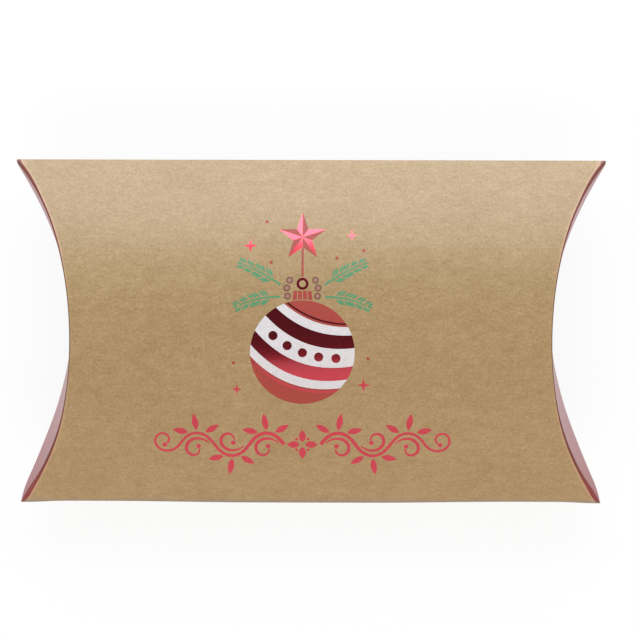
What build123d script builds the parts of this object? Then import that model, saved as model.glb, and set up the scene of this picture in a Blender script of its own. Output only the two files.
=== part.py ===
"""Pillow box of folded kraft board, closed, lying on its back panel.

X runs along the box, Y from the seam fold up to the plain fold, and Z from the back panel to the
front one. The origin is under the middle of the box, on the surface that it rests on. All lengths
are in millimetres.
"""

from build123d import *
import math
import os

# Driving dimensions
box_length = 203.0  # between the corner tips of an end and those of the other
box_height = 118.7  # between the two long folds
panel_bulge = 20.0  # rise of each panel from the plane of the long folds
end_depth = 20.8  # how far each end crease curves in from the corner tips
board = 0.45  # thickness of the board

# Outer flaps
flap_lean = 4.3  # how far the middle of the free edge stands out past the crease
tip_lean = 6.9  # how far the surface leans out at the corners, over one panel bulge
flap_shortfall = 1.0  # how far the free edge stops short of the back panel
thumb_radius = 8.0  # half-round thumb notch in the free edge
outer_corner_relief = 0.5  # how far the outer flaps stop short of the long folds

# Inner flaps
inner_rise = 5.0  # how far the free edge rises past the plane of the long folds
inner_corner_relief = 3.0  # how far the inner flaps stop short of the long folds

# Glued seam
tab_reach = 13.0  # width of the glue tab across the box
tab_end_gap = 8.0  # how far the tab's long side stops short of the corner tips
tab_taper = 14.0  # how much each end of the tab is cut back over its width
glue_thickness = 0.1  # film of glue between the tab and the back panel
glue_margin = 2.5  # bare board round the film of glue

# Clearances
crease_gap = 0.2  # between a panel's end and the flap that folds over it
flap_gap = 0.3  # between an outer flap and the inner flap behind it
overrun = 5.0  # how far cutting solids run past what they cut

# Worked out from the sizes above
half_length = box_length / 2
half_height = box_height / 2
fold_level = panel_bulge
front_level = fold_level + panel_bulge


def arc_radius(half_chord, rise):
    """Radius of the arc that rises by this much in the middle of its chord."""
    return (half_chord**2 + rise**2) / (2 * rise)


panel_radius = arc_radius(half_height, panel_bulge)
back_axis_level = panel_radius
front_axis_level = front_level - panel_radius

# Arcs of the outer flap's outside face at the front and the back level of the box
front_arc_depth = end_depth - tip_lean
front_arc_radius = arc_radius(half_height, front_arc_depth)
front_arc_centre = half_length - end_depth + front_arc_radius
back_arc_depth = end_depth - flap_lean + tip_lean
back_arc_radius = arc_radius(half_height, back_arc_depth)
back_arc_centre = half_length - end_depth + flap_lean + back_arc_radius

# Upright arc of the inner flap
inner_arc_radius = arc_radius(half_height, end_depth)
inner_arc_centre = half_length - end_depth + inner_arc_radius
inner_flap_inset = board + flap_gap

# Half width of the solids that cut the ends
cut_half_height = half_height + overrun


def space_past_arc(level, centre, radius):
    """Flat region at one level, from an end's arc out to the arc's centre, past the end of the box."""
    arc_reach = math.sqrt(radius**2 - cut_half_height**2)
    with BuildSketch(Plane.XY.offset(level)) as region:
        with BuildLine():
            arc = ThreePointArc(
                (centre - arc_reach, -cut_half_height),
                (centre - radius, 0),
                (centre - arc_reach, cut_half_height),
            )
            Polyline(arc @ 0, (centre, -cut_half_height), (centre, cut_half_height), arc @ 1)
        make_face()
    return region.sketch.face()


def space_past_outer_flap(inset, mode):
    """Space beyond an end, up to the outer flap's outside face moved into the box by inset."""
    back_region = space_past_arc(0, back_arc_centre, back_arc_radius + inset)
    front_region = space_past_arc(front_level, front_arc_centre, front_arc_radius + inset)
    loft(sections=[back_region, front_region], ruled=True, mode=mode)


def space_past_inner_flap(inset, mode):
    """Upright space beyond an end, up to the inner flap's arc moved into the box by inset."""
    region = space_past_arc(0, inner_arc_centre, inner_arc_radius + inset)
    extrude(to_extrude=region, amount=front_level, mode=mode)


def panel_strip(level_of_folds, bulge):
    """Bowed strip of board from one long fold to the other, along the whole box."""
    inner_radius = panel_radius - board
    side = math.copysign(1, bulge)
    axis_level = level_of_folds + bulge - side * panel_radius
    inner_half_height = math.sqrt(inner_radius**2 - (panel_radius - abs(bulge)) ** 2)
    inner_crown = axis_level + side * inner_radius
    with BuildSketch(Plane.YZ) as section:
        with BuildLine():
            outside = ThreePointArc(
                (-half_height, level_of_folds),
                (0, level_of_folds + bulge),
                (half_height, level_of_folds),
            )
            inside = ThreePointArc(
                (-inner_half_height, level_of_folds),
                (0, inner_crown),
                (inner_half_height, level_of_folds),
            )
            Line(outside @ 0, inside @ 0)
            Line(outside @ 1, inside @ 1)
        make_face()
    extrude(to_extrude=section.sketch, amount=half_length, both=True)


# Front panel, its ends cut along the creases of the outer flaps
with BuildPart() as front_end_cut:
    space_past_outer_flap(board + crease_gap, Mode.ADD)
with BuildPart() as front_panel:
    panel_strip(fold_level, panel_bulge)
    add(front_end_cut.part, mode=Mode.SUBTRACT)
    add(front_end_cut.part.mirror(Plane.YZ), mode=Mode.SUBTRACT)
front_panel.part.label = "front_panel"

# Back panel, its ends cut along the creases of the inner flaps
with BuildPart() as back_end_cut:
    space_past_inner_flap(inner_flap_inset + board + crease_gap, Mode.ADD)
with BuildPart() as back_panel:
    panel_strip(fold_level, -panel_bulge)
    add(back_end_cut.part, mode=Mode.SUBTRACT)
    add(back_end_cut.part.mirror(Plane.YZ), mode=Mode.SUBTRACT)
back_panel.part.label = "back_panel"

# Glue tab, folded in from the front panel at the seam and lying inside the back panel
glue_radius = panel_radius - board
tab_radius = glue_radius - glue_thickness
with BuildPart() as glue_tab:
    with BuildSketch(Plane.YZ) as tab_section:
        with Locations((0, back_axis_level)):
            Circle(tab_radius)
            Circle(tab_radius - board, mode=Mode.SUBTRACT)
        with Locations((0, front_axis_level)):
            Circle(panel_radius - board, mode=Mode.INTERSECT)
        with Locations((-half_height, fold_level)):
            Rectangle(2 * tab_reach, 2 * panel_bulge, mode=Mode.INTERSECT)
    extrude(amount=half_length, both=True)
    with BuildSketch(Plane.XY) as tab_outline:
        with BuildLine():
            Polyline(
                (half_length - tab_end_gap, -half_height),
                (half_length - tab_end_gap - tab_taper, -half_height + tab_reach),
                (-half_length + tab_end_gap + tab_taper, -half_height + tab_reach),
                (-half_length + tab_end_gap, -half_height),
                close=True,
            )
        make_face()
    extrude(amount=front_level, mode=Mode.INTERSECT)
glue_tab.part.label = "glue_tab"

# Film of glue between the tab and the back panel
glue_half_length = half_length - tab_end_gap - tab_taper
with BuildPart() as glue_line:
    with BuildSketch(Plane.YZ) as glue_section:
        with Locations((0, back_axis_level)):
            Circle(glue_radius)
            Circle(tab_radius, mode=Mode.SUBTRACT)
        with Locations((-half_height + tab_reach / 2, fold_level - panel_bulge)):
            Rectangle(tab_reach - 2 * glue_margin, 2 * panel_bulge, mode=Mode.INTERSECT)
    extrude(amount=glue_half_length, both=True)
glue_line.part.label = "glue_line"

# Outer flap of the right end, hinged on the front crease and leaning out towards its free edge
with BuildPart() as right_outer_flap:
    space_past_outer_flap(board, Mode.ADD)
    space_past_outer_flap(0, Mode.SUBTRACT)
    with BuildSketch(Plane.YZ) as outer_flap_outline:
        with BuildLine():
            ThreePointArc((-half_height, fold_level), (0, front_level), (half_height, fold_level))
            ThreePointArc((-half_height, fold_level), (0, flap_shortfall), (half_height, fold_level))
        make_face()
        with Locations((0, flap_shortfall)):
            Circle(thumb_radius, mode=Mode.SUBTRACT)
        with Locations((0, fold_level)):
            Rectangle(box_height - 2 * outer_corner_relief, 2 * front_level, mode=Mode.INTERSECT)
    extrude(amount=half_length + overrun, mode=Mode.INTERSECT)
right_outer_flap.part.label = "right_outer_flap"

# Inner flap of the right end, hinged on the back crease and tucked behind the outer flap
with BuildPart() as right_inner_flap:
    space_past_inner_flap(inner_flap_inset + board, Mode.ADD)
    space_past_inner_flap(inner_flap_inset, Mode.SUBTRACT)
    with BuildSketch(Plane.YZ) as inner_flap_outline:
        with BuildLine():
            ThreePointArc((-half_height, fold_level), (0, 0), (half_height, fold_level))
            ThreePointArc(
                (-half_height, fold_level),
                (0, fold_level + inner_rise),
                (half_height, fold_level),
            )
        make_face()
        with Locations((0, fold_level)):
            Rectangle(box_height - 2 * inner_corner_relief, 2 * front_level, mode=Mode.INTERSECT)
    extrude(amount=half_length + overrun, mode=Mode.INTERSECT)
right_inner_flap.part.label = "right_inner_flap"

# The left end mirrors the right one
with BuildPart() as left_outer_flap:
    mirror(right_outer_flap.part, about=Plane.YZ)
left_outer_flap.part.label = "left_outer_flap"

with BuildPart() as left_inner_flap:
    mirror(right_inner_flap.part, about=Plane.YZ)
left_inner_flap.part.label = "left_inner_flap"

# Write every piece as its own file
os.makedirs("parts", exist_ok=True)
pieces = [
    front_panel,
    back_panel,
    glue_tab,
    glue_line,
    right_outer_flap,
    right_inner_flap,
    left_outer_flap,
    left_inner_flap,
]
for piece in pieces:
    export_step(piece.part, "parts/" + piece.part.label + ".step")
    print(piece.part.label, "volume", round(piece.part.volume, 1), "solids", len(piece.part.solids()))
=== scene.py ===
"""Looks of a closed pillow box of kraft board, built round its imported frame.

Lengths are in metres, but those of the print are in millimetres. X runs along the box, Y from the
seam fold up to the plain fold, and Z from the back panel to the front one.
"""

import math

import bmesh
import bpy
from mathutils import Matrix, Vector
from mathutils.geometry import tessellate_polygon


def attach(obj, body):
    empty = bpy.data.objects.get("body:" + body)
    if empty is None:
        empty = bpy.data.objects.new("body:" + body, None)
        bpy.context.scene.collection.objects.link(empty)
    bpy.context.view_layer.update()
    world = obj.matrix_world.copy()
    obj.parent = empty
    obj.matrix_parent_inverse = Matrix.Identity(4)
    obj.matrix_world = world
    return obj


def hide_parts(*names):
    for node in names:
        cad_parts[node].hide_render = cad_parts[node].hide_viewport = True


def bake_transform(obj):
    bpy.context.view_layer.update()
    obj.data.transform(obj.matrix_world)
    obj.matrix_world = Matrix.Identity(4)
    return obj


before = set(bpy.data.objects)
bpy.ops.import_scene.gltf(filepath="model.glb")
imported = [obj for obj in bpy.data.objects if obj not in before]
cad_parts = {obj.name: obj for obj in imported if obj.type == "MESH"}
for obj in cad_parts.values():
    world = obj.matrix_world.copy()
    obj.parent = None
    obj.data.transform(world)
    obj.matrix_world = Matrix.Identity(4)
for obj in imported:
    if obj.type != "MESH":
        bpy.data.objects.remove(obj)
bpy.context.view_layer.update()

MM = 0.001

# Sizes of the box, as in its source
BOX_LENGTH = 203.0 * MM
BOX_HEIGHT = 118.7 * MM
PANEL_BULGE = 20.0 * MM
END_DEPTH = 20.8 * MM
BOARD = 0.45 * MM
FLAP_LEAN = 4.3 * MM
TIP_LEAN = 6.9 * MM
FLAP_SHORTFALL = 1.0 * MM
THUMB_RADIUS = 8.0 * MM
OUTER_CORNER_RELIEF = 0.5 * MM
INNER_RISE = 5.0 * MM
INNER_CORNER_RELIEF = 3.0 * MM
FLAP_GAP = 0.3 * MM

HALF_LENGTH = BOX_LENGTH / 2
HALF_HEIGHT = BOX_HEIGHT / 2
FOLD_LEVEL = PANEL_BULGE
FRONT_LEVEL = 2 * PANEL_BULGE

# Films of the board and the print
SKIN = 0.03 * MM  # how far the board's faces lie inside the solids' faces
INK_LIFT = 0.02 * MM  # how far ink and foil stand above the board
INK_DEPTH = 1.5 * INK_LIFT  # how thick they are, partly sunk in the board

# Rounding of folds and creases. A span is where a change begins and ends, across the box
FOLD_NOSE = 0.12 * MM  # outside radius of the long folds
CREASE_RADIUS = 0.38 * MM  # outside radius of the end creases at mid height
CREASE_SOFTENING = 0.52 * MM  # how much rounder they get towards the corners
SEAM_END_SOFTENING = 0.40 * MM  # and how much more towards the corners of the seam fold
SOFTENING_SPAN = (0.3 * HALF_HEIGHT, 0.85 * HALF_HEIGHT)
TIP_SOFTENING = 1.05 * MM  # and how much more in the tips of all corners
TIP_SPAN = (0.75 * HALF_HEIGHT, 0.97 * HALF_HEIGHT)
CREASE_SHARE = 0.3  # most of a flap's height that its crease takes up
TIP_CREASE_SHARE = 0.75  # and the most in the tips
LEAST_BEND = 1.05 * BOARD  # least outside radius that a crease's inside face is bent for

# Painted light and shade at the folds: highlights beside creases, shade in them and along the seam
# fold
HIGHLIGHT_REACH = 0.8 * MM  # width of the painted highlight line beside a panel's crease
LEAST_HIGHLIGHT = 0.1  # how strong that painted highlight is at mid height, where 1 is the most
HIGHLIGHT_SPAN = (0.15 * HALF_HEIGHT, 0.65 * HALF_HEIGHT)
TIP_PRINT_HEIGHT = 2.4 * MM  # how far from a long fold the red print reaches over the crease
TIP_PRINT_WIDTH = 2.0 * MM  # and how far over the crease it reaches there
TIP_PRINT_SHADING = 3.5  # shading value at the fold for that print, in painted shade colour, which begins at 1
BARE_SPAN = (0.2 * HALF_HEIGHT, 0.45 * HALF_HEIGHT)  # where bare creases give way to printed ones
SEAM_CORNER_SHADE_CUT = 0.55  # how much less painted shade a flap's crease gets at the corners of the seam fold
SEAM_CORNER_SHADE_SPAN = (0.7 * HALF_HEIGHT, 0.95 * HALF_HEIGHT)
SEAM_SHADE_REACH = 2.2 * MM  # how far from the seam fold the board is greyed by painted shade

# How the folded board departs from true curves
SEAM_DIP = 0.45 * MM  # how far the seam fold bows in between its middle and its corners
DIP_START = (0.2 * HALF_LENGTH, 0.7 * HALF_LENGTH)  # where along the box it comes to its full depth
DIP_END = (0.85 * HALF_LENGTH, 0.98 * HALF_LENGTH)  # and where it runs out
DIP_SPAN = (0.6 * HALF_HEIGHT, HALF_HEIGHT)
SEAM_SPREAD = 0.41 * MM  # how far the ends stand out beside their corners at the seam fold
SPREAD_SPAN = (0.43 * HALF_HEIGHT, 0.72 * HALF_HEIGHT)
SEAM_TIP_WEAR = 1.43 * MM  # how far the corner tips at the seam fold are pushed in from there
SEAM_TIP_REACH = 8.0 * MM  # and how far from the fold that starts
PLAIN_TIP_WEAR = 0.8 * MM  # the same at the plain fold
PLAIN_TIP_REACH = 1.6 * MM
FLAP_SKEW = 0.57 * MM  # how far outer flaps' free edges bow out on the seam side, and in opposite
FLAP_FULLNESS = 0.42 * MM  # how far they bow out between the middle and the corners, on both sides

# How finely the curved faces are divided
PANEL_ROWS = 96
PANEL_COLUMNS = 24
BESIDE_CREASE_SHARES = (0.0, 0.3, 0.6, 1.0, 2.0, 4.0)  # shares of the painted highlight's width that have a column
NOSE_STEPS = 4
CREASE_STEPS = 8
BARE_STEPS = 5  # how many of them show bare board where the print doesn't reach round the crease
FLAP_DEPTH_STEPS = 20
NOTCH_STEPS = 24
FLAP_SIDE_STEPS = 56
SIDE_CROWDING = 0.25  # how much wider they are at the notch, and closer at the corners


def arc_radius(half_chord, rise):
    """Radius of the arc that rises by this much in the middle of its chord."""
    return (half_chord**2 + rise**2) / (2 * rise)


def smooth_step(value, low, high):
    """0 below low, 1 above high, and a smooth rise between them."""
    share = min(1.0, max(0.0, (value - low) / (high - low)))
    return share * share * (3 - 2 * share)


PANEL_RADIUS = arc_radius(HALF_HEIGHT, PANEL_BULGE)
PANEL_AXIS = FRONT_LEVEL - PANEL_RADIUS  # height of the front panel's axis
FRONT_ARC_RADIUS = arc_radius(HALF_HEIGHT, END_DEPTH - TIP_LEAN)
FRONT_ARC_CENTRE = HALF_LENGTH - END_DEPTH + FRONT_ARC_RADIUS
BACK_ARC_RADIUS = arc_radius(HALF_HEIGHT, END_DEPTH - FLAP_LEAN + TIP_LEAN)
BACK_ARC_CENTRE = HALF_LENGTH - END_DEPTH + FLAP_LEAN + BACK_ARC_RADIUS
INNER_ARC_RADIUS = arc_radius(HALF_HEIGHT, END_DEPTH)
INNER_ARC_CENTRE = HALF_LENGTH - END_DEPTH + INNER_ARC_RADIUS
INNER_FLAP_INSET = BOARD + FLAP_GAP


def front_panel_level(y):
    """Height of the front panel's outside face."""
    return PANEL_AXIS + math.sqrt(PANEL_RADIUS**2 - y**2)


def outer_flap_x(y, z):
    """Outside face of the right outer flap, which is straight from one level to another."""
    at_back = BACK_ARC_CENTRE - math.sqrt(BACK_ARC_RADIUS**2 - y**2)
    at_front = FRONT_ARC_CENTRE - math.sqrt(FRONT_ARC_RADIUS**2 - y**2)
    share = z / FRONT_LEVEL
    return at_back + (at_front - at_back) * share


def outer_flap_bow(y, z):
    """How far the folded outer flap bows out of its ruled face, more towards its free edge."""
    wave = math.sin(math.pi * y / HALF_HEIGHT)
    crease = front_panel_level(y)
    depth = max(0.0, crease - z) / max(2 * (crease - FOLD_LEVEL), FLAP_SHORTFALL)
    return (FLAP_FULLNESS * wave**2 - FLAP_SKEW * wave) * min(1.0, depth)


def folded_outer_flap_x(y, z):
    """Outside face of the right outer flap as it is folded."""
    return outer_flap_x(y, z) + outer_flap_bow(y, z)


def inner_flap_x(y, z):
    """Outside face of the right inner flap, which is upright at every level."""
    return INNER_ARC_CENTRE - math.sqrt((INNER_ARC_RADIUS + INNER_FLAP_INSET) ** 2 - y**2)


def outer_flap_edge(y):
    """Height of the outer flap's free edge, with the half-round thumb notch in it."""
    radius = arc_radius(HALF_HEIGHT, FOLD_LEVEL - FLAP_SHORTFALL)
    edge = FLAP_SHORTFALL + radius - math.sqrt(radius**2 - y**2)
    if abs(y) < THUMB_RADIUS:
        edge = max(edge, FLAP_SHORTFALL + math.sqrt(THUMB_RADIUS**2 - y**2))
    return edge


def inner_flap_edge(y):
    """Height of the inner flap's free edge."""
    radius = arc_radius(HALF_HEIGHT, INNER_RISE)
    return FOLD_LEVEL + INNER_RISE - radius + math.sqrt(radius**2 - y**2)


def skin_level(y):
    """Height of the board's outside face on the front panel, just inside the solid's."""
    return PANEL_AXIS + math.sqrt((PANEL_RADIUS - SKIN) ** 2 - y**2)


def settled(x, y, z):
    """Place of a point of the board, with the seam fold bowed in and the corners out of true."""
    along = smooth_step(abs(x), *DIP_START) * (1 - smooth_step(abs(x), *DIP_END))
    dip = SEAM_DIP * along * smooth_step(-y, *DIP_SPAN)
    push = SEAM_TIP_WEAR * max(0.0, 1 - (HALF_HEIGHT + y) / SEAM_TIP_REACH) ** 2
    push -= SEAM_SPREAD * smooth_step(-y, *SPREAD_SPAN)
    push += PLAIN_TIP_WEAR * smooth_step(y, HALF_HEIGHT - PLAIN_TIP_REACH, HALF_HEIGHT)
    return x * (1 - push / HALF_LENGTH), y + dip, z


class Flap:
    """One kind of end flap: its outside face, its free edge, and the panel that it folds from."""

    def __init__(self, face_x, edge_level, relief, at_front):
        self.face_x = face_x
        self.edge_level = edge_level
        self.relief = relief
        self.at_front = at_front

    def crease_radius(self, y, flap_height):
        """Outside radius of the crease, rounder near the corners and less where the flap is low."""
        radius = CREASE_RADIUS
        radius += CREASE_SOFTENING * smooth_step(abs(y), *SOFTENING_SPAN)
        radius += SEAM_END_SOFTENING * smooth_step(-y, *SOFTENING_SPAN)
        tip = smooth_step(abs(y), *TIP_SPAN)
        share = CREASE_SHARE + (TIP_CREASE_SHARE - CREASE_SHARE) * tip
        return min(radius + TIP_SOFTENING * tip, share * flap_height)

    def section(self, y):
        """Crease and free edge at this y, as points (x, z), and the crease's radius and turn."""
        level = skin_level(y)
        crease_z = level if self.at_front else FRONT_LEVEL - level
        edge_z = self.edge_level(y)
        crease = Vector((self.face_x(y, crease_z) - SKIN, crease_z))
        edge = Vector((self.face_x(y, edge_z) - SKIN, edge_z))
        radius = self.crease_radius(y, abs(crease_z - edge_z))
        turn = math.pi / 2 - math.atan2(edge.x - crease.x, abs(crease_z - edge_z))
        return crease, edge, radius, turn

    def panel_end(self, y, z):
        """Where the panel's face ends and the crease begins to turn, at this point (y, z) of it."""
        _, _, radius, turn = self.section(y)
        return self.face_x(y, z) - SKIN - radius * math.tan(turn / 2)


OUTER_FLAP = Flap(folded_outer_flap_x, outer_flap_edge, OUTER_CORNER_RELIEF, True)
INNER_FLAP = Flap(inner_flap_x, inner_flap_edge, INNER_CORNER_RELIEF, False)


def placed(name, data):
    """Object of this data, in the scene."""
    made = bpy.data.objects.new(name, data)
    bpy.context.scene.collection.objects.link(made)
    return made


def mesh_object(name, mesh, materials):
    """Object of a finished bmesh."""
    bmesh.ops.recalc_face_normals(mesh, faces=mesh.faces)
    data = bpy.data.meshes.new(name)
    mesh.to_mesh(data)
    mesh.free()
    for material in materials:
        data.materials.append(material)
    return placed(name, data)


def board_piece(name, outside, inside, crease_shading, materials):
    """Closed piece of board between two grids of points, with smooth faces and sharp cut edges.

    The grids have the same rows and columns. The third grid gives each outside point's painted light
    and shade, from 0 to 1: a highlight beside a panel's crease, shade in a flap's crease. Above 1 a
    flap shows bare board and a panel shows print over its crease, both in dark painted-shade
    colours.
    """
    mesh = bmesh.new()
    crease_shading_layer = mesh.verts.layers.float.new("crease_shading")
    grids = []
    for points in (outside, inside):
        grids.append([[mesh.verts.new(settled(*point)) for point in row] for row in points])
    for row, row_shading in zip(grids[0], crease_shading):
        for vertex, amount in zip(row, row_shading):
            vertex[crease_shading_layer] = amount
    for side, grid in enumerate(grids):
        for row, next_row in zip(grid, grid[1:]):
            for k in range(len(row) - 1):
                face = mesh.faces.new((row[k], row[k + 1], next_row[k + 1], next_row[k]))
                face.material_index = side
    rims = []
    for grid in grids:
        last_column = [row[-1] for row in grid[1:]]
        first_column = [row[0] for row in grid[1:-1]]
        rims.append(grid[0] + last_column + grid[-1][-2::-1] + first_column[::-1])
    count = len(rims[0])
    for k in range(count):
        after = (k + 1) % count
        face = mesh.faces.new((rims[0][k], rims[0][after], rims[1][after], rims[1][k]))
        face.material_index = 2
    for face in mesh.faces:
        face.smooth = True
    for edge in mesh.edges:
        kinds = {face.material_index for face in edge.link_faces}
        edge.smooth = len(kinds) == 1
    return mesh_object(name, mesh, materials)


def panel_point(radius, turn):
    """Point (y, z) of an arc about the front panel's axis, at this turn from its crown."""
    return radius * math.sin(turn), PANEL_AXIS + radius * math.cos(turn)


def panel_section():
    """Points (y, z) across the front panel's outside face, from the seam fold to the plain fold."""
    radius = PANEL_RADIUS - SKIN
    slope = math.acos((FOLD_LEVEL - PANEL_AXIS) / radius)
    apex_y = radius * math.sin(slope)
    nose_centre_y = apex_y - FOLD_NOSE / math.sin(slope)
    nose = []
    for k in range(NOSE_STEPS + 1):
        turn = math.pi / 2 - (math.pi / 2 - slope) * k / NOSE_STEPS
        nose_y = nose_centre_y + FOLD_NOSE * math.sin(turn)
        nose.append((nose_y, FOLD_LEVEL + FOLD_NOSE * math.cos(turn)))
    start = math.atan2(nose[-1][0], nose[-1][1] - PANEL_AXIS)
    arc = [panel_point(radius, start * (1 - 2 * k / PANEL_ROWS)) for k in range(1, PANEL_ROWS)]
    return [(-y, z) for y, z in nose] + (nose + arc)[::-1]


def panel_inside(section):
    """Points (y, z) of the inside face that lie behind those of the outside face."""
    radius = PANEL_RADIUS - BOARD
    reach = math.asin(math.sqrt(radius**2 - (FOLD_LEVEL - PANEL_AXIS) ** 2) / radius)
    widest = section[-1][0]
    return [panel_point(radius, reach * y / widest) for y, _ in section]


def panel_piece(name, flap, materials):
    """Bowed panel whose ends follow the creases of its flaps."""
    section = panel_section()
    behind = panel_inside(section)
    outside = []
    inside = []
    crease_shading = []
    for (y, z), (y_in, z_in) in zip(section, behind):
        level = z if flap.at_front else FRONT_LEVEL - z
        level_in = z_in if flap.at_front else FRONT_LEVEL - z_in
        end = flap.panel_end(y, level)
        middle = end - BESIDE_CREASE_SHARES[-1] * HIGHLIGHT_REACH
        right = [middle * k / PANEL_COLUMNS for k in range(PANEL_COLUMNS)]
        right += [end - share * HIGHLIGHT_REACH for share in reversed(BESIDE_CREASE_SHARES)]
        places = [-x for x in reversed(right[1:])] + right
        outside.append([(x, y, level) for x in places])
        inside.append([(x, y_in, level_in) for x in places])
        # Painted highlight beside the crease, stronger towards the corners
        shading_amount = LEAST_HIGHLIGHT + (1 - LEAST_HIGHLIGHT) * smooth_step(abs(y), *HIGHLIGHT_SPAN)
        # Above 1: print over the crease tips, in the dark colour of the crease's painted shade
        shaded_tip_print = TIP_PRINT_SHADING * smooth_step(abs(y), HALF_HEIGHT - TIP_PRINT_HEIGHT, HALF_HEIGHT)
        row_shading = []
        for x in places:
            from_end = end - abs(x)
            amount = shading_amount * max(0.0, 1 - from_end / HIGHLIGHT_REACH)
            row_shading.append(amount + shaded_tip_print * max(0.0, 1 - from_end / TIP_PRINT_WIDTH))
        crease_shading.append(row_shading)
    return board_piece(name, outside, inside, crease_shading, materials)


def flap_stations(relief):
    """Values of y along a flap, closer together at the ends of the thumb notch and the corners."""
    limit = HALF_HEIGHT - relief
    turns = [math.pi * (k / NOTCH_STEPS - 0.5) for k in range(NOTCH_STEPS + 1)]
    notch = [THUMB_RADIUS * math.sin(turn) for turn in turns]
    side = []
    for k in range(1, FLAP_SIDE_STEPS + 1):
        share = k / FLAP_SIDE_STEPS
        share *= 1 + SIDE_CROWDING - SIDE_CROWDING * share
        side.append(THUMB_RADIUS + (limit - THUMB_RADIUS) * share)
    return [-y for y in reversed(side)] + notch + side


def flap_profile(crease, edge, radius, turn, inset):
    """Points (x, z) of one face of a flap, round its crease and down to its free edge.

    The face lies inset behind the outside one, and radius is the outside radius of the crease.
    """
    side = math.copysign(1, edge.y - crease.y)
    centre = Vector((crease.x - radius * math.tan(turn / 2), crease.y + side * radius))
    points = []
    for k in range(CREASE_STEPS + 1):
        angle = turn * k / CREASE_STEPS
        outwards = Vector((math.sin(angle), -side * math.cos(angle)))
        points.append(centre + outwards * (radius - inset))
    end = edge - outwards * inset
    start = points[-1]
    return points + [start.lerp(end, k / FLAP_DEPTH_STEPS) for k in range(1, FLAP_DEPTH_STEPS + 1)]


def flap_piece(name, flap, side, materials):
    """Flap of one end: it leaves the panel round the crease and runs to its free edge."""
    outside = []
    inside = []
    crease_shading = []
    for y in flap_stations(flap.relief):
        crease, edge, radius, turn = flap.section(y)
        face = flap_profile(crease, edge, radius, turn, 0)
        behind = flap_profile(crease, edge, max(radius, LEAST_BEND), turn, BOARD)
        outside.append([(side * p.x, y, p.y) for p in face])
        inside.append([(side * p.x, y, p.y) for p in behind])
        # Painted shade in the crease, less at the corners of the seam fold; bare board, painted
        # dark, where the print doesn't reach round it
        shading_amount = 1 - SEAM_CORNER_SHADE_CUT * smooth_step(-y, *SEAM_CORNER_SHADE_SPAN)
        shaded_bare = shading_amount * (2 - smooth_step(abs(y), *BARE_SPAN))
        crease_shading_row = [shaded_bare if k <= BARE_STEPS else shading_amount for k in range(CREASE_STEPS + 1)]
        crease_shading.append(crease_shading_row + [0.0] * FLAP_DEPTH_STEPS)
    return board_piece(name, outside, inside, crease_shading, materials)


def feed(tree, socket, value):
    """Give a socket a value, or a link where the value is a socket."""
    if isinstance(value, bpy.types.NodeSocket):
        tree.links.new(value, socket)
    else:
        socket.default_value = value


def set_inputs(tree, node, **inputs):
    """Give inputs of a node their values or links."""
    for key, value in inputs.items():
        feed(tree, node.inputs[key.replace("_", " ")], value)


def add_node(tree, kind, settings=None, **inputs):
    """Shader node with its settings made, and its inputs given a value or a link."""
    made = tree.nodes.new("ShaderNode" + kind)
    for key, value in (settings or {}).items():
        setattr(made, key, value)
    set_inputs(tree, made, **inputs)
    return made


def math_node(tree, operation, first, second):
    """Result of a sum or product of two numbers or sockets."""
    made = add_node(tree, "Math", {"operation": operation})
    for socket, value in zip(made.inputs, (first, second)):
        feed(tree, socket, value)
    return made.outputs[0]


def mix_colours(tree, factor, first, second):
    """Colour between two colours or sockets."""
    made = add_node(tree, "Mix", {"data_type": "RGBA", "clamp_factor": True})
    for number, value in ((0, factor), (6, first), (7, second)):
        feed(tree, made.inputs[number], value)
    return made.outputs[2]


def tinted(tree, base, amount, strength, colour):
    """Base colour mixed with another, by an amount times a strength."""
    return mix_colours(tree, math_node(tree, "MULTIPLY", amount, strength), base, colour)


def rise(tree, value, low, high):
    """0 below low and 1 above high."""
    settings = {"clamp": True, "interpolation_type": "SMOOTHSTEP"}
    made = add_node(tree, "MapRange", settings, Value=value, From_Min=low, From_Max=high)
    return made.outputs["Result"]


EVEN = (1.0, 1.0, 1.0)
LENGTHWISE = (0.7, 1.0, 1.0)  # spots drawn out a little along the box
OFFSET_SHARES = (1.0, 0.7, 0.4)  # of a noise's offset, along X, Y and Z


def noise(tree, place, per_mm, detail=2.0, stretch=EVEN, offset=0.0, distortion=0.0):
    """Noise of this many spots per millimetre, from place, which is in millimetres."""
    scale = [per_mm * share for share in stretch]
    location = [share * offset for share in OFFSET_SHARES]
    spot = add_node(tree, "Mapping", Vector=place, Scale=scale, Location=location).outputs[0]
    made = add_node(tree, "TexNoise", Vector=spot, Scale=1.0, Detail=detail, Distortion=distortion)
    return made.outputs[0]


def around(tree, value, amount):
    """Factor that varies by this much above and below 1 as value runs from 0 to 1."""
    return math_node(tree, "ADD", math_node(tree, "MULTIPLY", value, 2 * amount), 1 - amount)


def scaled(tree, colour, *factors):
    """Colour times several factors."""
    result = colour[:3]
    for factor in factors:
        made = add_node(tree, "VectorMath", {"operation": "SCALE"}, Scale=factor)
        feed(tree, made.inputs[0], result)
        result = made.outputs[0]
    return result


def start_material(name):
    """New material, its tree, its shader, and the place on the object in millimetres."""
    material = bpy.data.materials.new(name)
    material.use_nodes = True
    tree = material.node_tree
    shader = tree.nodes["Principled BSDF"]
    coordinates = add_node(tree, "TexCoord").outputs["Object"]
    place = add_node(tree, "Mapping", Vector=coordinates, Scale=[1 / MM] * 3)
    return material, tree, shader, place.outputs[0]


GRAIN_DEPTH = 0.02 * MM  # depth of the bumps of board, ink and foil
ROUGH_DEPTH = 0.03 * MM  # depth of those of cut edges and glue


def set_bump(tree, shader, height, strength, distance=GRAIN_DEPTH):
    """Fine relief from a height between 0 and 1."""
    bump = add_node(tree, "Bump", Height=height, Strength=strength, Distance=distance)
    set_inputs(tree, shader, Normal=bump.outputs[0])


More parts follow.
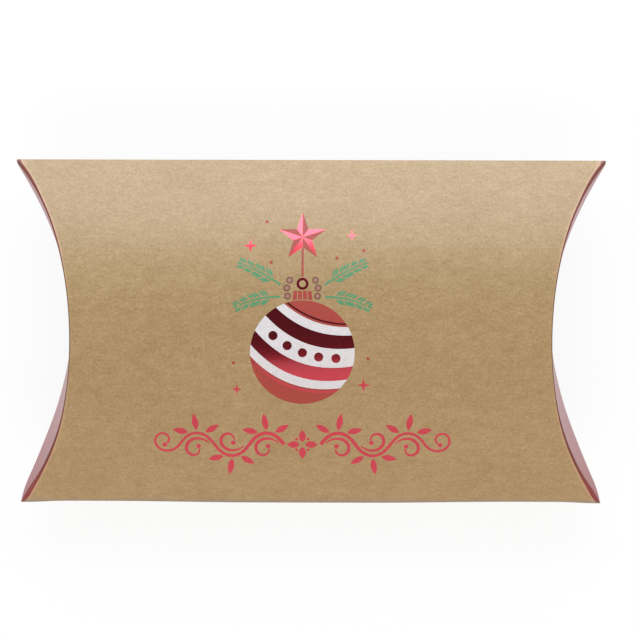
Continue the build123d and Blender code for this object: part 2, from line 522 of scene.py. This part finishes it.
# How strongly each layer of kraft board changes its tone, up and down
CLOUD_TONE = 0.07
MOTTLE_TONE = 0.13
GRAIN_TONE = 0.24
FIBRE_TONE = 0.15
FIBRE_STRETCH = (0.5, 1.7, 1.7)
FLECK_LEVEL = 0.79  # level of the noise above which a fleck begins
DARK_FLECK = (0.16, 0.09, 0.035, 1)
LIGHT_FLECK = (0.62, 0.47, 0.30, 1)
HIGHLIGHT_STRENGTH = 0.75  # how fully the painted highlight beside the creases covers the board's own colour
SEAM_SHADE_STRENGTH = 0.55  # and how fully the painted shade along the seam fold does
CREASE_SHADE_STRENGTH = 0.8  # how fully the painted shade in the creases darkens print


def kraft_material(name, dark, light, highlight_colour, roughness, specular):
    """Uncoated kraft board: clouds, mottle, grain, fibres, flecks, and painted light and shade."""
    material, tree, shader, place = start_material(name)
    clouds = noise(tree, place, 0.07, stretch=LENGTHWISE)
    mottle = noise(tree, place, 0.35, stretch=LENGTHWISE, offset=11.0)
    grain = noise(tree, place, 1.3, detail=1.0, offset=23.0)
    fibres = noise(tree, place, 1.0, stretch=FIBRE_STRETCH, offset=37.0, distortion=0.8)
    tone = around(tree, clouds, CLOUD_TONE)
    for layer, amount in ((mottle, MOTTLE_TONE), (grain, GRAIN_TONE), (fibres, FIBRE_TONE)):
        tone = math_node(tree, "MULTIPLY", tone, around(tree, layer, amount))
    base = mix_colours(tree, math_node(tree, "SUBTRACT", tone, 0.5), dark, light)
    dark_noise = noise(tree, place, 0.9, detail=1.0, offset=51.0)
    light_noise = noise(tree, place, 1.1, detail=1.0, stretch=(0.5, 1.0, 1.0), offset=71.0)
    base = tinted(tree, base, rise(tree, dark_noise, FLECK_LEVEL, 0.84), 0.6, DARK_FLECK)
    base = tinted(tree, base, rise(tree, light_noise, FLECK_LEVEL, 0.85), 0.5, LIGHT_FLECK)
    # Painted highlight beside the creases, broken up by the mottle
    crease_shading = add_node(tree, "Attribute", {"attribute_name": "crease_shading"}).outputs["Fac"]
    shading_amount = math_node(tree, "MULTIPLY", crease_shading, around(tree, mottle, 0.5))
    base = tinted(tree, base, shading_amount, HIGHLIGHT_STRENGTH, highlight_colour)
    # Above 1: print over the crease tips, in the dark colour of the crease's painted shade
    base = mix_colours(tree, math_node(tree, "SUBTRACT", crease_shading, 1.0), base, SHADED_CREASE_PRINT)
    # Painted shade: the board greyed along the seam fold
    across = add_node(tree, "SeparateXYZ", Vector=place).outputs["Y"]
    to_seam = math_node(tree, "MULTIPLY", across, -1.0)
    seam_shade = rise(tree, to_seam, (HALF_HEIGHT - SEAM_SHADE_REACH) / MM, HALF_HEIGHT / MM)
    base = tinted(tree, base, seam_shade, SEAM_SHADE_STRENGTH, SEAM_SHADE_GREY)
    set_inputs(tree, shader, Base_Color=base, Roughness=roughness, Specular_IOR_Level=specular)
    relief = math_node(tree, "ADD", grain, math_node(tree, "MULTIPLY", fibres, 0.6))
    set_bump(tree, shader, relief, 0.25)
    return material


def printed_material(name, colour, roughness, specular):
    """Board printed all over: even ink with the board's grain in it, and painted shade where it is
    folded.
    """
    material, tree, shader, place = start_material(name)
    mottle = noise(tree, place, 0.6, detail=3.0, offset=5.0)
    grain = noise(tree, place, 2.6, offset=17.0)
    base = scaled(tree, colour, around(tree, mottle, 0.10), around(tree, grain, 0.12))
    # Painted shade darkening the print in the creases, and above 1 bare board in a dark
    # painted-shade colour
    crease_shading = add_node(tree, "Attribute", {"attribute_name": "crease_shading"}).outputs["Fac"]
    base = tinted(tree, base, crease_shading, CREASE_SHADE_STRENGTH, SHADED_CREASE_PRINT)
    base = mix_colours(tree, math_node(tree, "SUBTRACT", crease_shading, 1.0), base, SHADED_BARE_CREASE)
    set_inputs(tree, shader, Base_Color=base, Roughness=roughness, Specular_IOR_Level=specular)
    set_bump(tree, shader, grain, 0.2)
    return material


def cut_edge_material(name, colour, roughness):
    """Raw cut edge of the board: layers and loose fibres."""
    material, tree, shader, place = start_material(name)
    layers = noise(tree, place, 4.0, stretch=(1.0, 0.2, 1.0))
    base = scaled(tree, colour, around(tree, layers, 0.25))
    set_inputs(tree, shader, Base_Color=base, Roughness=roughness)
    set_bump(tree, shader, layers, 0.4, ROUGH_DEPTH)
    return material


def ink_material(name, colour, roughness):
    """Matt ink on board, slightly uneven, with the grain showing through."""
    material, tree, shader, place = start_material(name)
    uneven = noise(tree, place, 0.8, detail=3.0, offset=9.0)
    grain = noise(tree, place, 2.6, offset=29.0)
    base = scaled(tree, colour, around(tree, uneven, 0.10), around(tree, grain, 0.22))
    set_inputs(tree, shader, Base_Color=base, Roughness=roughness)
    set_bump(tree, shader, grain, 0.2)
    return material


def foil_material(name, colour, roughness):
    """Hot-stamped metal foil under a clear lacquer, with the board's grain pressed into it."""
    material, tree, shader, place = start_material(name)
    drift = noise(
        tree, place, 0.11, detail=1.0, stretch=(0.6, 1.3, 1.0), offset=3.0, distortion=0.4
    )
    grain = noise(tree, place, 1.6, offset=41.0)
    base = scaled(tree, colour, around(tree, drift, 0.12))
    uneven = math_node(tree, "ADD", math_node(tree, "MULTIPLY", grain, 0.16), roughness)
    set_inputs(tree, shader, Base_Color=base, Metallic=1.0, Roughness=uneven)
    set_inputs(tree, shader, Coat_Weight=1.0, Coat_Roughness=roughness)
    set_bump(tree, shader, grain, 0.3)
    return material


def glue_material(name, colour, roughness):
    """Dried film of white glue, slightly glossy and streaked."""
    material, tree, shader, place = start_material(name)
    streaks = noise(tree, place, 0.5, stretch=(0.3, 1.5, 1.0))
    base = scaled(tree, colour, around(tree, streaks, 0.12))
    set_inputs(tree, shader, Base_Color=base, Roughness=roughness)
    set_bump(tree, shader, streaks, 0.3, ROUGH_DEPTH)
    return material


def off(x, y, reach, turn):
    """Point this far from another, in this direction."""
    return x + reach * math.cos(turn), y + reach * math.sin(turn)


def circle(x, y, radius, steps=28):
    """Outline of a disc."""
    return [off(x, y, radius, 2 * math.pi * k / steps) for k in range(steps)]


def moved(outline, x, y, turn=0.0):
    """Outline turned about the origin, then moved."""
    cos, sin = math.cos(turn), math.sin(turn)
    return [(x + px * cos - py * sin, y + px * sin + py * cos) for px, py in outline]


def both_sides(outlines, x):
    """Outlines set out to the right of x, and their mirror images to the left of it."""
    return [[(x + side * px, y) for px, y in line] for side in (1, -1) for line in outlines]


LEAF_BLUNTNESS = 0.8  # power of the leaf's curve, which below 1 makes its ends blunter
LEAF_ROOT = 1.15  # how much wider it is than that curve at its stalk
LEAF_TAPER = 0.3  # and how much of its width it loses from there to its tip


def leaf(length, width, steps=12):
    """Outline of a pointed leaf along X, from its stalk at the origin."""
    upper = []
    for k in range(steps + 1):
        share = k / steps
        half = width / 2 * math.sin(math.pi * share) ** LEAF_BLUNTNESS
        upper.append((length * share, half * (LEAF_ROOT - LEAF_TAPER * share)))
    lower = [(x, -y) for x, y in upper[1:-1]]
    return upper + lower[::-1]


def stroke(path, widths):
    """Outline of a pen stroke along a path, whose width is given at each point."""
    left = []
    right = []
    for k, (x, y) in enumerate(path):
        before = path[max(k - 1, 0)]
        after = path[min(k + 1, len(path) - 1)]
        along = Vector((after[0] - before[0], after[1] - before[1])).normalized()
        half = widths[k] / 2
        left.append((x - along.y * half, y + along.x * half))
        right.append((x + along.y * half, y - along.x * half))
    return left + right[::-1]


def pen_line(x, y, length, heading_at, steps):
    """Points of a line of this length, and its heading at each, from a rule for the heading."""
    points = [(x, y)]
    headings = [heading_at(0)]
    step = length / steps
    for k in range(steps):
        points.append(off(*points[-1], step, heading_at((k + 0.5) * step)))
        headings.append(heading_at((k + 1) * step))
    return points, headings


def curl(x, y, heading, length, bend_start, bend_end, power=1.0, steps=44):
    """Pen line whose bend, in radians per mm, changes along it from one value to the other."""

    def heading_at(s):
        gained = (bend_end - bend_start) * length * (s / length) ** (power + 1) / (power + 1)
        return heading + bend_start * s + gained

    return pen_line(x, y, length, heading_at, steps)


def swelling(count, start, middle, end):
    """Widths along a pen stroke that swells to its middle and thins out to its end."""
    widths = []
    for k in range(count):
        share = k / (count - 1)
        rim = start if share < 0.5 else end
        widths.append(rim + (middle - rim) * math.sin(math.pi * share))
    return widths


STRIP = 1.5  # height of the strips that a film of print is cut into, so that it follows the panel
SHARP_ANGLE = math.radians(40)  # least angle between faces that stays sharp


def ink_piece(name, shapes, material):
    """Thin film of ink or foil on the front panel. A shape is an outline and its holes, in mm."""
    mesh = bmesh.new()
    for loops in shapes:
        rings = [[Vector((x, y, 0)) for x, y in loop] for loop in loops]
        vertices = [mesh.verts.new(corner) for ring in rings for corner in ring]
        for triangle in tessellate_polygon(rings):
            mesh.faces.new([vertices[k] for k in triangle])
    heights = [vertex.co.y for vertex in mesh.verts]
    for k in range(math.ceil(min(heights) / STRIP), math.ceil(max(heights) / STRIP)):
        everything = mesh.verts[:] + mesh.edges[:] + mesh.faces[:]
        level = (0, k * STRIP, 0)
        bmesh.ops.bisect_plane(mesh, geom=everything, dist=1e-5, plane_co=level, plane_no=(0, 1, 0))
    for vertex in mesh.verts:
        x, y = vertex.co.x * MM, vertex.co.y * MM
        vertex.co = (x, y, skin_level(y) + INK_LIFT)
    bmesh.ops.recalc_face_normals(mesh, faces=mesh.faces)
    if sum(face.normal.z for face in mesh.faces) < 0:
        bmesh.ops.reverse_faces(mesh, faces=mesh.faces)
    for item in bmesh.ops.extrude_face_region(mesh, geom=mesh.faces[:])["geom"]:
        if isinstance(item, bmesh.types.BMVert):
            item.co.z -= INK_DEPTH
    for face in mesh.faces:
        face.smooth = True
    for edge in mesh.edges:
        edge.smooth = len(edge.link_faces) == 2 and edge.calc_face_angle() < SHARP_ANGLE
    return mesh_object(name, mesh, [material])


# Materials
KRAFT_DARK = (0.175, 0.089, 0.015, 1)
KRAFT_LIGHT = (0.527, 0.373, 0.203, 1)
INSIDE_DARK = (0.20, 0.11, 0.04, 1)
INSIDE_LIGHT = (0.54, 0.37, 0.19, 1)
KRAFT_HIGHLIGHT = (0.56, 0.34, 0.215, 1)
SEAM_SHADE_GREY = (0.19, 0.19, 0.18, 1)
# Dark colours of painted shade in the creases: of the print there, and of bare board where the print
# doesn't reach
SHADED_CREASE_PRINT = (0.145, 0.043, 0.025, 1)
SHADED_BARE_CREASE = (0.165, 0.095, 0.055, 1)
RED_PRINT = (0.30, 0.040, 0.046, 1)

kraft_outside = kraft_material("kraft_outside", KRAFT_DARK, KRAFT_LIGHT, KRAFT_HIGHLIGHT, 0.40, 0.4)
kraft_inside = kraft_material("kraft_inside", INSIDE_DARK, INSIDE_LIGHT, KRAFT_HIGHLIGHT, 0.7, 0.5)
red_print = printed_material("red_print", RED_PRINT, 0.30, 0.33)
cut_edge = cut_edge_material("cut_edge", (0.36, 0.25, 0.15, 1), 0.8)
red_foil = foil_material("red_foil", (0.58, 0.028, 0.050, 1), 0.12)
red_ink = ink_material("red_ink", (0.33, 0.045, 0.031, 1), 0.5)
white_ink = ink_material("white_ink", (0.625, 0.585, 0.59, 1), 0.5)
green_ink = ink_material("green_ink", (0.07, 0.25, 0.115, 1), 0.5)
brown_ink = ink_material("brown_ink", (0.13, 0.050, 0.030, 1), 0.5)
berry_ink = ink_material("berry_ink", (0.32, 0.15, 0.11, 1), 0.5)
glue_film = glue_material("glue_film", (0.72, 0.66, 0.54, 1), 0.35)

# Panels and flaps
board_look = [kraft_outside, kraft_inside, cut_edge]
flap_look = [red_print, kraft_inside, cut_edge]

front_panel = panel_piece("front_panel_board", OUTER_FLAP, board_look)
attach(front_panel, "box")
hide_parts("front_panel")

back_panel = panel_piece("back_panel_board", INNER_FLAP, board_look)
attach(back_panel, "box")
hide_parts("back_panel")

for side_name, side in (("right", 1), ("left", -1)):
    outer = flap_piece(side_name + "_outer_flap_board", OUTER_FLAP, side, flap_look)
    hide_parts(side_name + "_outer_flap")
    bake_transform(outer)

    inner = flap_piece(side_name + "_inner_flap_board", INNER_FLAP, side, flap_look)
    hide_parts(side_name + "_inner_flap")
    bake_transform(inner)

# The glued seam keeps its solids
for node_name, look in (("glue_tab", kraft_inside), ("glue_line", glue_film)):
    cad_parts[node_name].data.materials.clear()
    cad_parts[node_name].data.materials.append(look)

# Print on the front panel, in millimetres: a hanging ball under a star, and a scroll below them
PRINT_X = -2.8
BALL_Y = -5.0
BALL_RADIUS = 17.5
BALL_TURN = math.radians(-20)
BAND_BOW = 5.0  # how far a band's edge bows, from its middle to the ball's outline
WIDE_BAND = 3.4  # levels on the ball of the edges between its bands
NARROW_BAND = 8.2
EDGE_BAND = 11.2
PINSTRIPE = (11.9, 12.5)  # edges of the fine line in the red towards the poles
DOT_RADIUS = 1.55
DOT_SPACING = 5.6
DOT_MARGIN = 1.6 * DOT_RADIUS  # least room for a dot beside the ball's outline
CAP_GAP = 0.35
CAP_HALF_WIDTH = 3.4
CAP_HEIGHT = 2.8
CAP_FLUTES = 4
CAP_GROOVE = 0.3
CAP_TAPER = 0.88  # width of the cap's top against its foot
RING_Y = 18.0
RING_RADIUS = 2.0
RING_HOLE = 1.15
HANGER_WIDTH = 0.7
HANGER_GAP = 0.35
STAR_Y = 33.4
STAR_RADIUS = 8.2
STAR_HOLLOW = 3.3
SPRIGS = ((7.4, 17.6, 36, -0.018), (7.6, 13.6, 2, -0.034))  # place, heading in degrees, and bend
SPRIG_LENGTH = 14.0
STEM_STEPS = 24
STEM_WIDTH = 0.7
STEM_THINNING = 0.3  # how much of its width a stem loses along it
NEEDLE_SPACING = 1.35
NEEDLE_LENGTH = 3.6
NEEDLE_SHORTENING = 0.45  # how much of that the last needles on a stem have lost
END_NEEDLE_LENGTH = 0.6 * NEEDLE_LENGTH
END_NEEDLE_GAP = 0.3
NEEDLE_WIDTH = 0.72
NEEDLE_TURN = math.radians(40)
NEEDLE_START = 0.8  # from the middle of the stem
NEEDLE_STEPS = 6
BERRY_RADIUS = 1.15
BERRY_CORE = 0.72
BERRY_STEPS = 20
BERRIES = ((5.0, 13.9), (5.2, 16.6), (4.3, 19.2))
SPARKLES = ((-17.5, 30.5, 2.3), (16.5, 34.0, 1.8), (-22.0, -17.5, 1.8), (20.5, -16.0, 2.3))
SPECKS = ((-12.0, 38.5), (11.5, 26.5), (-10.5, 25.0), (20.5, 29.0), (-23.0, -8.5), (22.0, -7.0))
SPECK_RADIUS = 0.55
SPECK_STEPS = 14
SPARKLE_HOLLOW = 0.3  # reach of a sparkle's hollows against that of its points


def band_curve(u, level):
    """Height of a band's edge at u from the middle of the ball, in the ball's own turned frame."""
    return level + BAND_BOW * u**2 / BALL_RADIUS**2


def limb_crossing(level):
    """Half width of a band's edge, where it meets the ball's outline."""
    square = BALL_RADIUS**2
    a = BAND_BOW**2 / square**2
    b = 1 + 2 * level * BAND_BOW / square
    c = level**2 - square
    return math.sqrt((-b + math.sqrt(b**2 - 4 * a * c)) / (2 * a))


def band_edge(level, steps=24):
    """Points along a band's edge, left to right."""
    if abs(level) >= BALL_RADIUS:
        return [(0.0, level)]
    reach = limb_crossing(level)
    places = [reach * (2 * k / steps - 1) for k in range(steps + 1)]
    return [(u, band_curve(u, level)) for u in places]


def limb(start, end, steps=10):
    """Points on the ball's outline between two points on it."""
    first = math.atan2(start[1], start[0])
    last = math.atan2(end[1], end[0])
    sweep = (last - first + math.pi) % (2 * math.pi) - math.pi
    return [off(0, 0, BALL_RADIUS, first + sweep * k / steps) for k in range(1, steps)]


def band(low, high):
    """Outline of the part of the ball between two levels."""
    lower = band_edge(low)
    upper = band_edge(high)[::-1]
    outline = lower + limb(lower[-1], upper[0]) + upper + limb(upper[-1], lower[0])
    return moved(outline, PRINT_X, BALL_Y, BALL_TURN)


def band_pairs(levels):
    """Bands between these pairs of levels, and the same on the other half of the ball."""
    return [[band(*ends)] for low, high in levels for ends in ((low, high), (-high, -low))]


def ball_dots():
    """Discs in a row along the middle band."""
    count = int((limb_crossing(0) - DOT_MARGIN) / DOT_SPACING)
    middles = [(k * DOT_SPACING, band_curve(k * DOT_SPACING, 0)) for k in range(-count, count + 1)]
    return [circle(x, y, DOT_RADIUS) for x, y in moved(middles, PRINT_X, BALL_Y, BALL_TURN)]


def cap_flutes():
    """Upright strips of the ball's cap, whose lower ends follow the ball."""
    reach = BALL_RADIUS + CAP_GAP
    top = BALL_Y + reach + CAP_HEIGHT
    width = (2 * CAP_HALF_WIDTH - (CAP_FLUTES - 1) * CAP_GROOVE) / CAP_FLUTES
    flutes = []
    for k in range(CAP_FLUTES):
        left = -CAP_HALF_WIDTH + k * (width + CAP_GROOVE)
        corners = [(x, BALL_Y + math.sqrt(reach**2 - x**2)) for x in (left, left + width)]
        corners += [(CAP_TAPER * x, top) for x in (left + width, left)]
        flutes.append([[(PRINT_X + x, y) for x, y in corners]])
    return flutes


def star_halves(x, y, radius, hollow, points=5):
    """Triangles of the left halves of a star's points, and of the right ones."""
    halves = ([], [])
    for k in range(points):
        tip_turn = math.pi / 2 + 2 * math.pi * k / points
        tip = off(x, y, radius, tip_turn)
        for half, side in zip(halves, (1, -1)):
            dent = off(x, y, hollow, tip_turn + side * math.pi / points)
            half.append([[(x, y), tip, dent]])
    return halves


def sparkle(x, y, radius):
    """Small four-pointed star with hollow sides."""
    reaches = (radius, SPARKLE_HOLLOW * radius)
    return [off(x, y, reaches[k % 2], math.pi / 4 * k) for k in range(8)]


def sprig(x, y, heading, length, bend):
    """Outlines of a fir sprig: a bent stem with needles on both sides and at its tip."""
    path, headings = curl(x, y, heading, length, bend, bend, steps=STEM_STEPS)
    widths = [STEM_WIDTH - STEM_THINNING * k / STEM_STEPS for k in range(STEM_STEPS + 1)]
    outlines = [stroke(path, widths)]
    count = int(length / NEEDLE_SPACING)
    for k in range(2, count + 1):
        share = k / count
        at = round(share * STEM_STEPS)
        needle = leaf(NEEDLE_LENGTH * (1 - NEEDLE_SHORTENING * share), NEEDLE_WIDTH, NEEDLE_STEPS)
        for side in (1, -1):
            turn = headings[at] + side * NEEDLE_TURN
            outlines.append(moved(needle, *off(*path[at], NEEDLE_START, turn), turn))
    end_x, end_y = path[-1]
    needle = leaf(END_NEEDLE_LENGTH, NEEDLE_WIDTH, NEEDLE_STEPS)
    outlines.append(moved(needle, end_x + END_NEEDLE_GAP, end_y, headings[-1]))
    return outlines


SCROLL_Y = -37.0
VINE_START = 6.2
VINE_WAVE = 30.0
VINE_LENGTH = 1.5 * VINE_WAVE
VINE_SWING = 0.95  # steepest heading, in radians
VINE_STEPS = 120
VINE_WIDTH = 1.3
VINE_THINNING = 0.6  # how much of its width the vine loses up to the end of its curl
VINE_GAP = 1.2  # from the middle of the vine to where a curl starts
CURL_LENGTH = 17.5
END_CURL_LENGTH = 1.15 * CURL_LENGTH
CURL_BENDS = (0.17, 0.58)
CURL_POWER = 1.6
CURL_START = 1.6  # how far past the vine's crossing a curl starts
CURL_SPLAY = 0.1  # angle at which it leaves the vine
CURL_WIDTHS = (0.35, 1.1, 0.5)  # at its start, its middle and its end
BUD_RADIUS = 0.8
BUD_REACH = 1.0  # from the end of a curl to the middle of its bud
BUD_STEPS = 16
LEAF_SPREAD = ((-2.6, 2.1, 5.2), (0.0, 1.4, 6.0), (2.6, 0.7, 5.2))  # place along, turn, length
LEAF_WIDTH = 2.1
LEAF_GAP = 1.05  # from the middle of the vine to where a leaf starts
PETAL_LENGTH = 4.3
PETAL_WIDTH = 2.4
PETAL_GAP = 0.9  # from the middle of the rosette to where a petal starts
ROSETTE_DOT_RADIUS = 0.5
ROSETTE_DOT_PLACE = 2.7


def vine_heading(s):
    """Heading of the waving vine at a distance along it."""
    return VINE_SWING * math.cos(2 * math.pi * s / VINE_WAVE)


def scroll():
    """Outlines of the right half of the scroll: a waving vine with curls, buds and leaves."""
    points, headings = pen_line(VINE_START, 0, VINE_LENGTH, vine_heading, VINE_STEPS)
    lift = SCROLL_Y - (max(y for _, y in points) + min(y for _, y in points)) / 2
    line, turned = curl(*points[-1], headings[-1], END_CURL_LENGTH, *CURL_BENDS, CURL_POWER)
    whole = points + line[1:]
    widths = [VINE_WIDTH - VINE_THINNING * k / len(whole) for k in range(len(whole))]
    outlines = [stroke(whole, widths), bud(line[-1], turned[-1])]
    for n in range(3):
        side = 1 if n % 2 == 0 else -1
        k = round((n / 2 * VINE_WAVE + CURL_START) / VINE_LENGTH * VINE_STEPS)
        start = off(*points[k], VINE_GAP, headings[k] - side * math.pi / 2)
        splayed = headings[k] - side * CURL_SPLAY
        bends = [-side * bend for bend in CURL_BENDS]
        line, turned = curl(*start, splayed, CURL_LENGTH, *bends, CURL_POWER)
        outlines.append(stroke(line, swelling(len(line), *CURL_WIDTHS)))
        outlines.append(bud(line[-1], turned[-1]))
        for along, turn, length in LEAF_SPREAD:
            k = round(((n / 2 + 0.25) * VINE_WAVE + along) / VINE_LENGTH * VINE_STEPS)
            root = off(*points[k], LEAF_GAP, headings[k] + side * math.pi / 2)
            outlines.append(moved(leaf(length, LEAF_WIDTH), *root, headings[k] + side * turn))
    return [[(x, y + lift) for x, y in outline] for outline in outlines]


def bud(end, heading):
    """Disc at the end of a curl."""
    return circle(*off(*end, BUD_REACH, heading), BUD_RADIUS, BUD_STEPS)


def rosette(x, y):
    """Four petals and four dots between them."""
    outlines = []
    for k in range(4):
        turn = math.pi / 2 * k
        petal = leaf(PETAL_LENGTH, PETAL_WIDTH)
        outlines.append(moved(petal, *off(x, y, PETAL_GAP, turn), turn))
        place = off(x, y, ROSETTE_DOT_PLACE, turn + math.pi / 4)
        outlines.append(circle(*place, ROSETTE_DOT_RADIUS, SPECK_STEPS))
    return outlines


dots = ball_dots()
left_halves, right_halves = star_halves(PRINT_X, STAR_Y, STAR_RADIUS, STAR_HOLLOW)
hanger = [(PRINT_X, RING_Y + RING_RADIUS + HANGER_GAP), (PRINT_X, STAR_Y - STAR_HOLLOW - HANGER_GAP)]
white_shapes = [[band(-WIDE_BAND, WIDE_BAND)] + dots]
white_shapes += band_pairs(((NARROW_BAND, EDGE_BAND),))
foil_shapes = [[dot] for dot in dots]
foil_shapes += band_pairs(((WIDE_BAND, NARROW_BAND), PINSTRIPE))
foil_shapes += [[circle(PRINT_X, RING_Y, radius) for radius in (RING_RADIUS, RING_HOLE)]]
foil_shapes += left_halves
foil_shapes += [[sparkle(PRINT_X + x, y, radius)] for x, y, radius in SPARKLES]
red_shapes = band_pairs(((EDGE_BAND, PINSTRIPE[0]), (PINSTRIPE[1], BALL_RADIUS)))
red_shapes += right_halves + cap_flutes()
red_shapes += [[stroke(hanger, [HANGER_WIDTH, HANGER_WIDTH])]]
red_shapes += [[circle(PRINT_X + x, y, SPECK_RADIUS, SPECK_STEPS)] for x, y in SPECKS]
sprigs = []
for x, y, heading, bend in SPRIGS:
    sprigs += sprig(x, y, math.radians(heading), SPRIG_LENGTH, bend)
green_shapes = [[outline] for outline in both_sides(sprigs, PRINT_X)]
berries, cores = [
    both_sides([circle(x, y, radius, BERRY_STEPS) for x, y in BERRIES], PRINT_X)
    for radius in (BERRY_RADIUS, BERRY_CORE)
]
brown_shapes = [[berry, core] for berry, core in zip(berries, cores)]
core_shapes = [[core] for core in cores]
scroll_shapes = [[outline] for outline in both_sides(scroll(), PRINT_X) + rosette(PRINT_X, SCROLL_Y)]

for name, shapes, look in (
    ("print_white", white_shapes, white_ink),
    ("print_foil", foil_shapes, red_foil),
    ("print_red", red_shapes, red_ink),
    ("print_green", green_shapes, green_ink),
    ("print_brown", brown_shapes, brown_ink),
    ("print_berries", core_shapes, berry_ink),
    ("print_scroll", scroll_shapes, red_foil),
):
    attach(ink_piece(name, shapes, look), "box")

# Floor, which the camera sees white but for the soft shadow
FLOOR_SIDE = 8.0
FLOOR_COLOUR = (0.9, 0.9, 0.9, 1)
WHITE = (1, 1, 1, 1)
LIT_SHARE = 0.12  # how much of the floor's own light and shade shows in its white


def seen_rays(tree):
    """1 for rays from the camera, from glossy faces and through clear ones, and 0 for others."""
    rays = add_node(tree, "LightPath").outputs
    seen = math_node(tree, "MAXIMUM", rays["Is Camera Ray"], rays["Is Glossy Ray"])
    return math_node(tree, "MAXIMUM", seen, rays["Is Transmission Ray"])


def mixed_shader(tree, share, first, second):
    """Socket of a mix of two shader nodes."""
    made = add_node(tree, "MixShader")
    for socket, value in zip(made.inputs, (share, first.outputs[0], second.outputs[0])):
        feed(tree, socket, value)
    return made.outputs[0]


def stage_material(name):
    """New material that lights nothing by itself, its tree, and its empty surface socket."""
    material = bpy.data.materials.new(name)
    material.use_nodes = True
    material.cycles.emission_sampling = "NONE"
    tree = material.node_tree
    tree.nodes.remove(tree.nodes["Principled BSDF"])
    return material, tree, tree.nodes["Material Output"].inputs["Surface"]


def floor_material():
    """White floor: part of what rays from the camera and from glossy faces see is its own light."""
    material, tree, surface = stage_material("floor_white")
    diffuse = add_node(tree, "BsdfDiffuse", Color=FLOOR_COLOUR)
    white = add_node(tree, "Emission", Color=WHITE, Strength=1.0)
    share = math_node(tree, "MULTIPLY", seen_rays(tree), 1 - LIT_SHARE)
    tree.links.new(mixed_shader(tree, share, diffuse, white), surface)
    return material


floor_mesh = bmesh.new()
bmesh.ops.create_grid(floor_mesh, x_segments=1, y_segments=1, size=FLOOR_SIDE / 2)
floor = mesh_object("floor", floor_mesh, [floor_material()])

# World, which lights evenly and looks white
world = bpy.data.worlds.new("studio")
bpy.context.scene.world = world
world.use_nodes = True
world_tree = world.node_tree
world_tree.nodes.clear()
AMBIENT = 0.35
ambient_light = add_node(world_tree, "Background", Color=WHITE, Strength=AMBIENT)
white_backdrop = add_node(world_tree, "Background", Color=WHITE, Strength=1.0)
world_look = mixed_shader(world_tree, seen_rays(world_tree), ambient_light, white_backdrop)
add_node(world_tree, "OutputWorld", Surface=world_look)

# Lights: long soft ones along the box
LIGHT_DISTANCE = 0.9
COOL = (0.926, 1.0, 1.08)
WARM = (1.08, 1.0, 0.926)


def soft_light(name, tilt, width, depth, radiance, colour):
    """Light of this width along the box, tilted from straight above towards +Y, facing the box."""
    data = bpy.data.lights.new(name, "AREA")
    data.shape = "RECTANGLE"
    data.size = width
    data.size_y = depth
    data.energy = math.pi * width * depth * radiance
    data.color = colour
    made = placed(name, data)
    towards = Vector((0, math.sin(tilt), math.cos(tilt)))
    made.location = Vector((0, 0, FOLD_LEVEL)) + towards * LIGHT_DISTANCE
    made.rotation_euler = towards.to_track_quat("Z", "Y").to_euler()
    made.visible_camera = False
    return made


soft_light("key_light", math.radians(52), 0.9, 0.50, 4.75, COOL)
soft_light("low_light", math.radians(80), 0.9, 0.12, 11.0, COOL)
fill_light = soft_light("fill_light", math.radians(-52.5), 1.6, 0.50, 2.9, WARM)
fill_light.visible_glossy = False

# Dark room round the camera, which only glossy faces see
CARD_HEIGHT = 0.5
CARD_HALF_LENGTH = 0.45
CARD_EDGES = (math.radians(-17), math.radians(25))  # from straight above, seen from the box
CARD_GLOW = 0.11


def dark_card():
    """Card above the box that is left out of every ray but the glossy ones."""
    material, tree, surface = stage_material("dark_room")
    glow = add_node(tree, "Emission", Color=WHITE, Strength=CARD_GLOW)
    tree.links.new(glow.outputs[0], surface)
    mesh = bmesh.new()
    low, high = [FOLD_LEVEL + CARD_HEIGHT * math.tan(edge) for edge in CARD_EDGES]
    corners = ((-1, low), (1, low), (1, high), (-1, high))
    mesh.faces.new(
        [mesh.verts.new((side * CARD_HALF_LENGTH, y, CARD_HEIGHT)) for side, y in corners]
    )
    card = mesh_object("dark_card", mesh, [material])
    for rays in ("camera", "diffuse", "transmission", "volume_scatter", "shadow"):
        setattr(card, "visible_" + rays, False)
    return card


dark_card()

# Camera, fitted to the photograph's view
CAMERA_DISTANCE = 0.650
CAMERA_TILT = math.radians(4.65)
CAMERA_ROLL = math.radians(0.14)
AIM = Vector((2.06 * MM, 5.38 * MM, FOLD_LEVEL))
SENSOR_MM = 36.0
FOCAL_PIXELS = 1889.0
IMAGE_PIXELS = 634.0

camera_data = bpy.data.cameras.new("camera")
camera_data.sensor_width = SENSOR_MM
camera_data.lens = FOCAL_PIXELS / IMAGE_PIXELS * SENSOR_MM
camera = placed("camera", camera_data)
backward = Vector((0, math.sin(CAMERA_TILT), math.cos(CAMERA_TILT)))
level_right = Vector((1, 0, 0))
level_up = backward.cross(level_right)
right = level_right * math.cos(CAMERA_ROLL) + level_up * math.sin(CAMERA_ROLL)
up = level_up * math.cos(CAMERA_ROLL) - level_right * math.sin(CAMERA_ROLL)
turned = Matrix((right, up, backward)).transposed()
camera.matrix_world = Matrix.Translation(AIM + backward * CAMERA_DISTANCE) @ turned.to_4x4()
bpy.context.scene.camera = camera

bpy.context.scene.view_settings.view_transform = "Standard"
